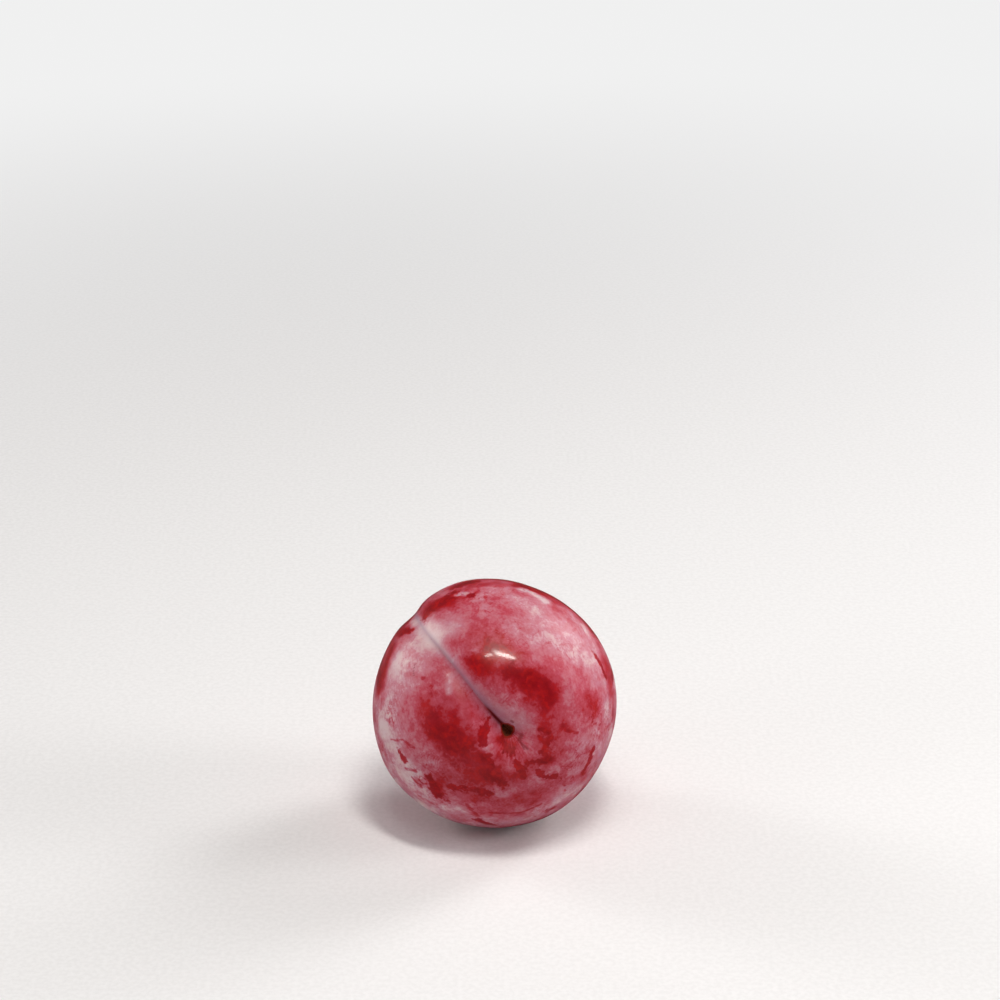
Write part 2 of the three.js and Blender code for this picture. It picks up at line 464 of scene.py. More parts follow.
# Dots: spacing and radius in millimetres, and the share of the places that hold one. The
# core of a dot is a share of its radius.
PALE_DOTS = (1.7, 0.16, 0.6)
PORES = (1.0, 0.17, 0.5)
CRUMBS = (0.9, 0.12, 0.35)
DOT_CORE = 0.45

# Ragged edges: how far they fray, the size of the frays in millimetres, and softness.
RUBBED_EDGE = (1.0, 0.6, 0.18)
SCRAPED_EDGE = (1.5, 1.1, 0.2)
SCRATCHED_EDGE = (0.8, 0.3, 0.35)
SCAR_RIM_GLOW_EDGE = (0.8, 0.5, 0.25)
SCAR_FLOOR_EDGE = (0.5, 0.3, 0.2)

# Strokes that run one way: lean in radians, width in millimetres, and stretch.
WIPED_STROKES = ((0.6, 0.9, 0.2), 0.5, 7.0)
SCAR_FIBRES = ((0.0, 1.57, 0.3), 0.2, 6.0)

THREAD_SPACING = 5.0
THREAD_HALF_WIDTH = 0.12
RAYS_AROUND = 8.0
RAYS_LENGTH = 6.0

# How strongly each effect changes the bloom.
MIDDLING_IN_PATCHES = 0.16
FINE_IN_PATCHES = 0.07
LEAST_BLOOM = 0.04
LEAST_BLOOM_SOFTNESS = 0.25
BROAD_STRENGTH = 0.52
MIDDLING_STRENGTH = 0.31
FINE_STRENGTH = 0.17
WIPED_STRENGTH = 0.17
RAYS_STRENGTH = 1.0
FLAKED_STRENGTH = -0.3
THREADS_STRENGTH = -0.4
CLOUDS_MIDDLE = 1.05
TORN_BY_CLOUDS = 0.5
TORN_BY_RAYS = -0.6
SCRAPED_SHARE = 0.75
RUBBED_OFF = 0.85
COVERING_POWER = 1.5

# The colours of the skin, by how much of it the bloom covers.
BLOOM_COLOURS = (
    (0.0, "clean_red"),
    (0.22, "thin_bloom"),
    (0.5, "pink_bloom"),
    (0.75, "lilac_bloom"),
    (0.92, "dry_bloom"),
)

# How much bloom there is where each look starts, and where it is full.
WARM_BLOOM = (0.45, 0.05)
DEEP_BLOOM = (0.35, 0.0)
SHADED_BLOOM = (0.15, 0.45)
CRUMBLY_BLOOM = (0.55, 0.75)
DOTLESS_BLOOM = (0.2, 0.6)
GLOSSY_BLOOM = (0.8, 0.0)
MATT_BLOOM = (0.0, 0.8)

# The middle of the clouds of warm and of deep red, and how strongly each look shows.
WARM_MIDDLE = 0.35
DEEP_MIDDLE = 0.5
DEEP_SHARE = 0.55
SHADED_SHARE = 0.6
DOTS_SHARE = 0.35
PORES_SHARE = 0.42
CRUMBS_SHARE = 0.7
CREVICE_STRENGTH = 1.3
SCRATCHED_SHARE = 0.65
# Coat on thick bloom and on bare skin, and roughness of bare skin and of thick bloom.
GLOSS = (0.05, 0.4)
ROUGHNESS = (0.3, 0.46)
DULL_BELOW_SCAR = 1.4
ROUGH_BELOW_SCAR = 0.45

# Where the looks of the scar start and are full: 0 is its edge and 1 is its middle.
# The rim's look is a painted glow of light through the flesh.
SCAR_RIM_GLOW = (-0.42, 0.0)
SCAR_FLOOR = (-0.12, 0.2)
SCAR_MATT = (-0.1, 0.1)

# Fine bumps, as shares of their distance.
BUMP_DISTANCE = 0.08 * MM
BLOOM_BUMP = 0.12
GRAIN_BUMP = 0.12
RIPPLES_BUMP = 0.25
DOTS_BUMP = 0.15

# ---------- studio

FLOOR_SIZE = 3.0
FLOOR_FADES = (0.2, 0.7)
FLOOR_GRAIN_SHADE = 0.94
BLACK = (0.0, 0.0, 0.0)
WHITE = (1.0, 1.0, 1.0)
LENS = 94.86
SENSOR = 36.0
CAMERA_DISTANCE = 0.6254
CAMERA_TILT = math.radians(24.2)
AIR_DARKER_IN_GLOSS = 0.7
# Where the middle of the fruit's box is in the picture, in pixels from the top left.
PICTURE_SIDE = 1000
FRUIT_ACROSS_PICTURE = 494.7
FRUIT_DOWN_PICTURE = 703.5

# A light's own coordinates go from 0 to 1 across it.
LIGHT_MIDDLE = (0.5, 0.5, 0.0)
LIGHT_EDGE = 0.5
WARM_LIGHT = (1.0, 0.96, 0.9)
PALE_LIGHT = (1.0, 0.98, 0.96)
CREAM_LIGHT = (1.0, 0.98, 0.95)

# Softboxes: name, direction from the fruit, distance, width, height, turn about its own axis
# in degrees, share of the width that is evenly bright, watts, colour, whether gloss mirrors it.
SOFTBOXES = (
    ("overhead", (0.11, -0.26, 0.96), 0.6, 0.3, 0.085, -60, 0.5, 3.4, WARM_LIGHT, True),
    ("overhead, left", (-0.15, -0.25, 0.96), 0.6, 0.12, 0.045, 55, 0.5, 0.5, WARM_LIGHT, True),
    ("behind, right", (0.7, 0.5, 0.5), 1.0, 0.5, 0.85, 0, 0.2, 13.0, PALE_LIGHT, True),
    ("right", (0.93, -0.05, 0.36), 1.0, 0.5, 0.6, 0, 0.2, 9.5, PALE_LIGHT, False),
    ("behind, left", (-0.84, 0.42, 0.36), 1.0, 0.42, 0.85, 0, 0.2, 9.4, CREAM_LIGHT, True),
    ("left", (-0.88, -0.42, 0.2), 1.0, 0.5, 0.6, 0, 0.2, 4.3, PALE_LIGHT, False),
    ("in front", (0.08, -0.64, 0.77), 0.9, 0.35, 0.35, 0, 0.5, 0.8, PALE_LIGHT, False),
)


def from_screen(red, green, blue):
    """A colour as picked on screen, 0 to 255, turned into linear light."""
    linear = []
    for value in (red, green, blue):
        share = value / 255.0
        linear.append(share / 12.92 if share <= 0.04045 else ((share + 0.055) / 1.055) ** 2.4)
    return tuple(linear)


def length_setting(label, about, default):
    """A property that holds a length."""
    return bpy.props.FloatProperty(
        name=label, description=about, default=default, min=0.0, precision=5, unit="LENGTH"
    )


def colour_setting(label, about, *screen):
    """A property that holds a colour, given as picked on screen."""
    return bpy.props.FloatVectorProperty(
        name=label, description=about, default=from_screen(*screen), min=0.0, max=1.0,
        size=3, subtype="COLOR",
    )


def share_setting(label, about, default):
    """A property that goes from 0 to 1."""
    return bpy.props.FloatProperty(
        name=label, description=about, default=default, min=0.0, max=1.0, subtype="FACTOR"
    )


class PlumForm(bpy.types.PropertyGroup):
    """Sizes of the fruit."""

    radius_at_fold: length_setting("Radius at the fold", "Heart to skin, towards the fold", 28.6 * MM)
    radius_across: length_setting("Radius across", "Heart to skin, beside the fold", 29.2 * MM)
    stem_height: length_setting("Stem half", "Heart to the stem end, before the hollow", 27 * MM)
    blossom_height: length_setting("Blossom half", "Heart to the blossom end", 26.5 * MM)
    hollow_depth: length_setting("Hollow depth", "Depth of the hollow round the scar", 1.8 * MM)
    fold_depth: length_setting("Fold depth", "Depth of the fold next to the scar", 3.5 * MM)
    scar_radius: length_setting("Scar radius", "Half the width of the stalk scar", 1.75 * MM)


class PlumFinish(bpy.types.PropertyGroup):
    """Colours and gloss of the skin."""

    clean_red: colour_setting("Clean skin", "Skin with its bloom rubbed off", 150, 4, 17)
    warm_red: colour_setting("Warm skin", "The warmer red that clouds the clean skin", 184, 24, 26)
    thin_bloom: colour_setting("Thin bloom", "Skin under a thin bloom", 168, 31, 45)
    pink_bloom: colour_setting("Pink bloom", "Skin under a middling bloom", 185, 75, 92)
    lilac_bloom: colour_setting("Lilac bloom", "Skin under a thick bloom", 193, 124, 139)
    dry_bloom: colour_setting("Dry bloom", "The thickest, whitish bloom", 212, 184, 187)
    deep_red: colour_setting("Deep skin", "The darker red that clouds the clean skin", 116, 4, 16)
    dots: colour_setting("Dots", "Small pale dots in the clean skin", 186, 64, 52)
    pores: colour_setting("Pores", "Small dark dots that show through the bloom", 164, 22, 40)
    scar: colour_setting("Scar", "Dry floor of the stalk scar", 62, 16, 8)
    scar_fibre: colour_setting("Scar fibre", "Pale fibres in the stalk scar", 112, 50, 20)
    # Painted glow: the orange-red that light shining through the flesh gives the rim of the scar,
    # painted as a colour all round it.
    scar_rim_glow: colour_setting("Scar rim", "Orange-red flesh at the rim of the scar", 150, 22, 6)
    # Painted shade: the greyer lilac that the fold's shade gives the bloom, painted along the bottom
    # of the fold and on the slope beside it.
    shaded_bloom: colour_setting("Shaded bloom", "Smooth wax kept in the fold", 150, 116, 140)
    # Bare dark red skin along the split near the scar; farther along the fold its faint line is
    # painted shade in the crease.
    crevice: colour_setting("Crevice", "Dark red line where the cheeks meet", 118, 5, 17)
    dust: share_setting("Dust", "Soft sheen of the wax towards the edges", 0.08)
    softness: share_setting("Softness", "How far light soaks into the skin", 0.25)


class PlumStage(bpy.types.PropertyGroup):
    """The floor and the light."""

    floor: colour_setting("Floor", "Colour of the floor", 236, 236, 238)
    floor_in_gloss: colour_setting("Floor in gloss", "The floor as mirrored in gloss", 50, 46, 46)
    backdrop: colour_setting("Backdrop", "Colour of the air behind the floor", 240, 240, 240)
    light: bpy.props.FloatProperty(
        name="Light", description="Strength of all the softboxes", default=0.91, min=0.0
    )
    fill: bpy.props.FloatProperty(
        name="Fill", description="Strength of the light from all round", default=0.11, min=0.0
    )


# ---------- small sums


def pair(sizes, stem_share):
    """A size between its value at the stalk scar and its value far along the fold."""
    at_stem, far = sizes
    return far + (at_stem - far) * stem_share


def mound(distance, reach):
    """A smooth mound of height 1, falling to about a third at its reach."""
    return np.exp(-((distance / reach) ** 2))


def smoothstep(value, start, full):
    """0 up to start and 1 from full on, with a soft ramp between."""
    share = np.clip((value - start) / (full - start), 0.0, 1.0)
    return share * share * (3.0 - 2.0 * share)


def direction_of(azimuth, polar):
    """Unit directions in fruit axes, from angles in radians."""
    sideways = np.sin(polar)
    return np.stack([sideways * np.cos(azimuth), sideways * np.sin(azimuth), np.cos(polar)], -1)


def place_of(angles):
    """A unit direction in fruit axes, from (azimuth, polar) in degrees."""
    return direction_of(*np.radians(angles))


def turn_from(azimuth, middle):
    """The signed turn from a middle azimuth, in degrees, from -180 to 180."""
    return (np.degrees(azimuth) - middle + 180.0) % 360.0 - 180.0


class FruitForm:
    """The form of the fruit, worked out for many directions at once."""

    def __init__(self, sizes, directions):
        self.sizes = sizes
        self.directions = directions
        self.up = directions[:, 2]
        self.body = self.body_radius()
        self.x = self.body * directions[:, 0]
        self.y = self.body * directions[:, 1]
        self.from_stem = np.hypot(self.x, self.y)
        self.azimuth = np.arctan2(self.y, self.x)
        self.near_stem = smoothstep(self.up, *STEM_END)
        self.stem_share = self.near_stem * mound(self.from_stem, STEM_INFLUENCE)
        bend = np.sin(2.0 * math.pi * self.from_stem / FOLD_WANDER_LENGTH)
        self.across = self.y - self.near_stem * FOLD_WANDER * bend
        self.away = np.hypot(self.across, np.maximum(-self.x, 0.0))
        self.wall_share = self.share_of_wall()

    def body_radius(self):
        """Heart to skin on the bare body, which is fuller or leaner than an ellipsoid."""
        stem_side = self.up > 0.0
        height = np.where(stem_side, self.sizes.stem_height, self.sizes.blossom_height)
        fullness = np.where(stem_side, STEM_FULLNESS, BLOSSOM_FULLNESS)
        sideways = np.hypot(
            self.directions[:, 0] / self.sizes.radius_at_fold,
            self.directions[:, 1] / self.sizes.radius_across,
        )
        upright = np.abs(self.up) / height
        return (sideways**fullness + upright**fullness) ** (-1.0 / fullness)

    def share_of_wall(self):
        """1 on the raised side of the fold, 0 on the soft side, easing out past the scar."""
        past_scar = 1.0 - smoothstep(-self.azimuth, WALL_TURNS_FROM, WALL_TURNS_TO)
        beside = np.where(self.across < 0.0, 1.0, 0.0)
        behind = np.where(self.azimuth < 0.0, past_scar, 0.0)
        return np.where(self.x > 0.0, beside, behind)

    def swellings(self):
        """Height of the broad swellings."""
        height = np.zeros(len(self.directions))
        for azimuth, polar, spread, lift in SWELLINGS:
            cosine = np.clip(self.directions @ place_of((azimuth, polar)), -1.0, 1.0)
            height += lift * mound(np.arccos(cosine), math.radians(spread))
        return height

    def rolled_shoulder(self):
        """Height of the low roll beside the hollow."""
        turn = turn_from(self.azimuth, ROLL_AZIMUTH)
        polar = np.degrees(np.arccos(np.clip(self.up, -1.0, 1.0)))
        along = np.exp(-((turn / ROLL_HALF_WIDTH) ** 4))
        return ROLL_HEIGHT * along * mound(polar - ROLL_POLAR, ROLL_SPREAD)

    def stem_hollow(self):
        """Depth of the hollow round the scar and of the wide dip that it lies in."""
        reach = HOLLOW_REACH + HOLLOW_TOWARDS_FOLD * np.cos(self.azimuth)
        reach = reach + HOLLOW_TOWARDS_SLOPE * np.sin(self.azimuth)
        hollow = self.sizes.hollow_depth * mound(self.from_stem, reach)
        dip = DIP_DEPTH * mound(self.from_stem, DIP_REACH)
        return self.near_stem * (hollow + dip)

    def blossom_dimple(self):
        """Depth of the dimple at the blossom end."""
        near_blossom = smoothstep(-self.up, *BLOSSOM_END)
        return near_blossom * BLOSSOM_DIMPLE_DEPTH * mound(self.from_stem, BLOSSOM_DIMPLE_REACH)

    def fold(self):
        """Depth of the fold: a steep wall on one side and a soft valley on the other."""
        sharpness = pair(WALL_SHARPNESS, self.stem_share)
        wall = np.exp(-((self.away / pair(WALL_REACH, self.stem_share)) ** sharpness))
        valley = mound(self.away, pair(VALLEY_REACH, self.stem_share))
        depth = pair((self.sizes.fold_depth, FOLD_FAR_DEPTH), self.stem_share)
        depth = depth * (1.0 - (1.0 - FOLD_AT_BLOSSOM) * smoothstep(-self.up, 0.0, 1.0))
        return depth * (self.wall_share * wall + (1.0 - self.wall_share) * valley)

    def fold_strip(self):
        """1 in the fold and 0 away from it: a strip that narrows away from the scar."""
        return mound(self.away, pair(BLOOM_STRIP_WIDTH, self.stem_share))

    def fold_shade(self):
        """Where shade is painted in the fold: 1 along the bottom of the fold, fading up its sides and
        towards the blossom end, and weaker on the slope beside it.
        """
        beside = smoothstep(-self.across, -FOLD_SIDES_MEET, FOLD_SIDES_MEET)
        on_wall = np.where(self.x > 0.0, beside, self.wall_share)
        wall = mound(self.away, pair(FOLD_SHADE_WIDTH, self.stem_share))
        slope = SLOPE_SHADE_SHARE * mound(self.away, pair(SLOPE_SHADE_WIDTH, self.stem_share))
        slope = smoothstep(self.x, *SLOPE_SHADE_STARTS) * slope
        kept = 1.0 - smoothstep(-self.up, 0.0, FOLD_SHADE_ENDS)
        return kept * (on_wall * wall + (1.0 - on_wall) * slope)

    def crevice(self, width):
        """0 to 1 along the narrow split where the cheeks meet, faint beyond its near part."""
        open_part = 1.0 - smoothstep(self.x, *CREVICE_CLOSES)
        faint_part = 1.0 - smoothstep(self.x, *CREVICE_ENDS)
        depth = open_part + CREVICE_BEYOND * (1.0 - open_part) * faint_part
        start = smoothstep(self.x, *CREVICE_STARTS)
        return self.near_stem * start * depth * mound(self.across, width)

    def scar(self):
        """1 at the middle of the scar and 0 at its edge, which is drawn out towards the fold."""
        x, y = self.x - SCAR_MIDDLE[0], self.y - SCAR_MIDDLE[1]
        around = np.arctan2(y, x)
        edge = 1.0 + SCAR_DRAWN_OUT * mound(turn_from(around, 0), SCAR_DRAWN_OUT_SPREAD)
        edge -= SCAR_OVAL * np.cos(2.0 * (around - math.radians(SCAR_OVAL_TURN)))
        for height, count, turn in SCAR_WAVES:
            edge += height * np.sin(count * around + turn)
        edge *= self.sizes.scar_radius
        return np.where(self.up > 0.0, 1.0 - np.hypot(x, y) / edge, -1.0)

    def scar_pit(self):
        """The pit that the stalk left, with a fibrous floor."""
        inside = smoothstep(self.scar(), *SCAR_PIT_EDGE)
        lean = self.x + SCAR_FIBRE_LEAN * self.y
        lean = lean + SCAR_FIBRE_WAVE * np.sin(self.y / SCAR_FIBRE_WAVE_PER_RADIAN)
        fibres = np.cos(2.0 * math.pi * lean / SCAR_FIBRE_SPACING)
        return inside * (SCAR_PIT_DEPTH - SCAR_FIBRE_HEIGHT * fibres)

    def below_scar(self):
        """1 close below the scar, where the bloom is drawn out into rays."""
        low_side = mound(turn_from(self.azimuth, RAYS_AZIMUTH), RAYS_HALF_WIDTH)
        return self.near_stem * low_side * mound(self.from_stem, RAYS_REACH)

    def puckers(self):
        """Fine creases that run out from the scar."""
        around = PUCKER_COUNT * self.azimuth
        around = around + PUCKER_UNEVEN * np.sin(PUCKER_UNEVEN_COUNT * self.azimuth)
        window = self.near_stem * mound(self.from_stem - PUCKER_MIDDLE, PUCKER_REACH)
        return PUCKER_HEIGHT * window * np.cos(around)

    def unevenness(self):
        """Low waves that no real skin is without."""
        points = self.directions * (self.body / UNEVEN_LENGTH)[:, None]
        return UNEVEN_HEIGHT * np.array([noise.noise(Vector(point)) for point in points])

    def radius(self):
        """Distance from the heart of the fruit to its skin, in each direction."""
        raised = self.body + self.swellings() + self.rolled_shoulder()
        sunk = self.stem_hollow() + self.blossom_dimple() + self.fold()
        fine = self.unevenness() + self.puckers() - CREVICE_DEPTH * self.crevice(CREVICE_WIDTH)
        return raised - sunk + fine - self.scar_pit()


# ---------- marks as values on the skin


def strokes_on_skin(table):
    """Every stroke of a table, with its ends as points on a ball the size of the fruit."""
    for stroke in table:
        start, end = place_of(stroke[:2]), place_of(stroke[2:4])
        yield (MARK_RADIUS * start, MARK_RADIUS * end, *stroke[4:])


def far_side_strokes(chance, count, longest):
    """Random strokes as (start, end) points, outside the part marked one by one."""
    middle = place_of(MARKED_BY_HAND)
    strokes = []
    while len(strokes) < count:
        start, lean = np.array([chance.gauss(0.0, 1.0) for _number in range(6)]).reshape(2, 3)
        start /= np.linalg.norm(start)
        end = start + longest * chance.random() * (lean - (lean @ start) * start)
        end /= np.linalg.norm(end)
        if start @ middle < math.cos(math.radians(MARKED_BY_HAND_REACH)):
            strokes.append((MARK_RADIUS * start, MARK_RADIUS * end))
    return strokes


def distance_to_stroke(points, start, end):
    """How far points are from a straight stroke between two points."""
    along = end - start
    share = np.clip((points - start) @ along / (along @ along), 0.0, 1.0)
    return np.linalg.norm(points - start - share[:, None] * along, axis=1)


def soft_mark(points, start, end, half_width):
    """1 along a stroke, with a soft edge. The half-width is in millimetres."""
    return mound(distance_to_stroke(points, start, end), SOFT_EDGE * half_width * MM)


def sharp_marks(points, strokes):
    """1 in the middle of each mark and a half at its edge, before the edge is frayed."""
    marked = np.zeros(len(points))
    for start, end, half_width in strokes:
        gap = distance_to_stroke(points, start, end)
        marked = np.maximum(marked, 1.0 - 0.5 * gap / (half_width * MM))
    return marked


def bloom_thickness(form, points):
    """How thick the wax is at each point of the skin, before the fine clouding."""
    strokes = list(strokes_on_skin(BLOOM_PATCHES))
    chance = random.Random(SEED)
    for start, end in far_side_strokes(chance, FAR_SIDE_PATCHES, FAR_SIDE_PATCH_LENGTH):
        half_width = chance.uniform(*FAR_SIDE_PATCH_WIDTHS)
        strokes.append((start, end, half_width, chance.choice(FAR_SIDE_PATCH_AMOUNTS)))
    bloom = BLOOM_EVERYWHERE + BLOOM_IN_FOLD * form.wall_share * form.fold_strip()
    for start, end, half_width, amount in strokes:
        bloom += amount * soft_mark(points, start, end, half_width)
    return bloom


def calm_bloom(form, points):
    """1 where the bloom lies smooth: in the fold and in a few untouched places."""
    calm = CALM_IN_FOLD * form.wall_share * form.fold_strip()
    for start, end, half_width, share in strokes_on_skin(CALM_PATCHES):
        calm = np.maximum(calm, share * soft_mark(points, start, end, half_width))
    return calm


def rubbed_clean(points):
    """The rubbed marks, those listed and those on the far side."""
    strokes = list(strokes_on_skin(RUBBED_MARKS))
    chance = random.Random(SEED + 1)
    for start, end in far_side_strokes(chance, FAR_SIDE_MARKS, FAR_SIDE_MARK_LENGTH):
        strokes.append((start, end, chance.uniform(*FAR_SIDE_MARK_WIDTHS)))
    return sharp_marks(points, strokes)


def skin_values(form):
    """The values kept for each vertex, for the material to read by name."""
    points = MARK_RADIUS * form.directions
    return {
        "bloom": bloom_thickness(form, points),
        "rubbed": rubbed_clean(points),
        "calm": calm_bloom(form, points),
        "scraped": sharp_marks(points, strokes_on_skin(SCRAPED_STROKES)),
        "scratch": sharp_marks(points, strokes_on_skin(DARK_SCRATCHES)),
        "fold_shade": form.fold_shade(),
        "crevice": form.crevice(CREVICE_LINE_WIDTH),
        "below_scar": form.below_scar(),
        "scar": form.scar(),
    }


# ---------- the fruit's mesh


def crowded_directions(bm):
    """Directions of the ball's vertices, crowded round the hollow and along the fold."""
    ball = np.array([vertex.co for vertex in bm.verts])
    even = np.arctan2(ball[:, 1], ball[:, 0])
    azimuth = even - SEGMENT_CROWDING * np.sin(even)
    polar = np.arccos(np.clip(ball[:, 2] / np.linalg.norm(ball, axis=1), -1.0, 1.0))
    return direction_of(azimuth, math.pi * (polar / math.pi) ** RING_CROWDING)


def lying_pose():
    """The turn from fruit axes to the way the fruit lies."""
    about_stem = Matrix.Rotation(TURN_ABOUT_STEM, 3, "Z")
    tip = Matrix.Rotation(TIP_FORWARD, 3, "X")
    on_table = Matrix.Rotation(TURN_ON_TABLE, 3, "Z")
    return on_table @ tip @ about_stem


def rest_in_frame(points):
    """Presses the lowest skin flat and fits the fruit to the frame's box.

    Returns the points and the place of the heart of the fruit, both in the frame.
    """
    level = points[:, 2].min() + FLAT_DEPTH
    pressed = np.column_stack([points[:, :2], np.maximum(points[:, 2], level)])
    low, high = pressed.min(0), pressed.max(0)
    frame_low, frame_high = np.array(CAD_LOW), np.array(CAD_HIGH)
    scale = (frame_high - frame_low) / (high - low)
    heart = frame_low - low * scale
    return pressed * scale + heart, Vector(heart)


def fruit_mesh(sizes):
    """The fruit's closed skin, with the place of its heart and its turn."""
    bm = bmesh.new()
    bmesh.ops.create_uvsphere(bm, u_segments=SEGMENTS, v_segments=RINGS, radius=1.0)
    form = FruitForm(sizes, crowded_directions(bm))
    pose = lying_pose()
    points = (form.directions * form.radius()[:, None]) @ np.array(pose).T
    points, heart = rest_in_frame(points)
    for vertex, point in zip(bm.verts, points):
        vertex.co = point
    bmesh.ops.recalc_face_normals(bm, faces=bm.faces)
    for face in bm.faces:
        face.smooth = True
    mesh = bpy.data.meshes.new("plum_fruit")
    bm.to_mesh(mesh)
    bm.free()
    for name, values in skin_values(form).items():
        layer = mesh.attributes.new(name, "FLOAT", "POINT")
        layer.data.foreach_set("value", values.astype(np.float32))
    return mesh, heart, pose


# ---------- node helpers


def empty_tree(owner):
    """The node tree of a material, light or world, turned on and cleared."""
    owner.use_nodes = True
    owner.node_tree.nodes.clear()
    return owner.node_tree


def add(tree, kind, inputs=None, **settings):
    """Adds a node, sets its settings, then fills or links its inputs by name or number."""
    made = tree.nodes.new(kind)
    for name, value in settings.items():
        setattr(made, name, value)
    for name, value in (inputs or {}).items():
        socket = made.inputs[name]
        if isinstance(value, bpy.types.NodeSocket):
            tree.links.new(value, socket)
        else:
            socket.default_value = (*value, 1.0) if socket.type == "RGBA" else value
    return made


def spaced(inputs):
    """Names with spaces for underscores."""
    return {name.replace("_", " "): value for name, value in inputs.items()}


def effect(tree, group, **inputs):
    """Places a shared effect and returns its outputs. Underscores stand for spaces."""
    return add(tree, "ShaderNodeGroup", spaced(inputs), node_tree=group).outputs


def math_step(tree, operation, *values, clamp=False):
    """One step of arithmetic on sockets or numbers."""
    inputs = dict(enumerate(values))
    return add(tree, "ShaderNodeMath", inputs, operation=operation, use_clamp=clamp).outputs[0]


def vector_step(tree, operation, *vectors, scale=None):
    """One step of arithmetic on vectors."""
    inputs = dict(enumerate(vectors))
    if scale is not None:
        inputs["Scale"] = scale
    return add(tree, "ShaderNodeVectorMath", inputs, operation=operation).outputs[0]


def length_of(tree, vector):
    """The length of a vector."""
    return add(tree, "ShaderNodeVectorMath", {0: vector}, operation="LENGTH").outputs["Value"]


def soft_ramp(tree, value, start, full, low=0.0, high=1.0):
    """A soft ramp from low to high as the value goes from start to full."""
    inputs = {"Value": value, "From Min": start, "From Max": full, "To Min": low, "To Max": high}
    return add(tree, "ShaderNodeMapRange", inputs, interpolation_type="SMOOTHSTEP").outputs[0]


def blend(tree, share, first, second):
    """A mix of two colours."""
    return add(tree, "ShaderNodeMix", {0: share, 6: first, 7: second}, data_type="RGBA").outputs[2]


def noise_of(tree, place, **inputs):
    """What a noise texture gives at a place."""
    return add(tree, "ShaderNodeTexNoise", {"Vector": place, **inputs}).outputs


def stored(tree, name):
    """A value kept on the mesh."""
    return add(tree, "ShaderNodeAttribute", attribute_name=name).outputs["Fac"]


COLUMN_WIDTH = 220
ROW_HEIGHT = 260


def lay_out(tree):
    """Spreads the nodes in columns, each to the right of what feeds it."""
    depths = {}

    def depth_of(node):
        if node.name not in depths:
            feeds = [link.from_node for socket in node.inputs for link in socket.links]
            depths[node.name] = 1 + max((depth_of(feed) for feed in feeds), default=-1)
        return depths[node.name]

    rows = {}
    for node in tree.nodes:
        column = depth_of(node)
        rows[column] = rows.get(column, 0) + 1
        node.location = (COLUMN_WIDTH * column, -ROW_HEIGHT * rows[column])


def new_group(name, **inputs):
    """An empty node group with named inputs, which are numbers or vectors."""
    group = bpy.data.node_groups.new(name, "ShaderNodeTree")
    for label, default in spaced(inputs).items():
        kind = "NodeSocketFloat" if isinstance(default, float) else "NodeSocketVector"
        socket = group.interface.new_socket(label, in_out="INPUT", socket_type=kind)
        socket.default_value = default
    return group, group.nodes.new("NodeGroupInput").outputs


def finished(group, **outputs):
    """The group with its named outputs added and its nodes laid out."""
    for label, value in spaced(outputs).items():
        kind = "NodeSocketVector" if value.type == "VECTOR" else "NodeSocketFloat"
        group.interface.new_socket(label, in_out="OUTPUT", socket_type=kind)
    add(group, "NodeGroupOutput", spaced(outputs))
    lay_out(group)
    return group


# ---------- shared effects


def fruit_axes_group(heart, pose):
    """The point being shaded in fruit axes, in millimetres, and its distance from the stem axis."""
    group, _given = new_group("Fruit axes")
    inputs = {
        "Vector": add(group, "ShaderNodeTexCoord").outputs["Object"],
        "Location": heart,
        "Rotation": pose.to_euler(),
        "Scale": (MM, MM, MM),
    }
    place = add(group, "ShaderNodeMapping", inputs, vector_type="TEXTURE").outputs[0]
    level = vector_step(group, "MULTIPLY", place, (1.0, 1.0, 0.0))
    from_stem = length_of(group, level)
    sideways = vector_step(group, "NORMALIZE", level)
    return finished(group, Place=place, Sideways=sideways, From_Stem=from_stem)


def clouding_group():
    """Soft clouds of a given size in millimetres, drawn out into wisps by a warp."""
    group, given = new_group(
        "Clouding", Place=ORIGIN, Size=5.0, Warp=0.6, Detail=4.0, Softness=0.25
    )
    shrink = math_step(group, "DIVIDE", 1.0, given["Size"])
    shrunk = vector_step(group, "SCALE", given["Place"], scale=shrink)
    push = noise_of(group, shrunk, Scale=0.9, Detail=2.0)["Color"]
    centred = vector_step(group, "SUBTRACT", push, (0.5, 0.5, 0.5))
    pushed = vector_step(group, "SCALE", centred, scale=given["Warp"])
    warped = vector_step(group, "ADD", shrunk, pushed)
    cloud = noise_of(group, warped, Scale=1.0, Detail=given["Detail"])["Fac"]
    low = math_step(group, "SUBTRACT", 0.5, given["Softness"])
    high = math_step(group, "ADD", 0.5, given["Softness"])
    return finished(group, Cloud=soft_ramp(group, cloud, low, high))


def wiping_group():
    """Fine strokes that run one way, as where the wax was wiped."""
    group, given = new_group("Wiping", Place=ORIGIN, Lean=ORIGIN, Width=0.6, Stretch=6.0)
    inputs = {"Vector": given["Place"], "Rotation": given["Lean"]}
    turned = add(group, "ShaderNodeVectorRotate", inputs, rotation_type="EULER_XYZ").outputs[0]
    narrow = math_step(group, "DIVIDE", 1.0, given["Width"])
    long = math_step(group, "DIVIDE", narrow, given["Stretch"])
    scale = add(group, "ShaderNodeCombineXYZ", {"X": narrow, "Y": narrow, "Z": long}).outputs[0]
    drawn = vector_step(group, "MULTIPLY", turned, scale)
    stroke = noise_of(group, drawn, Scale=1.0, Detail=3.0, Distortion=0.6)["Fac"]
    return finished(group, Stroke=soft_ramp(group, stroke, start=0.3, full=0.7))


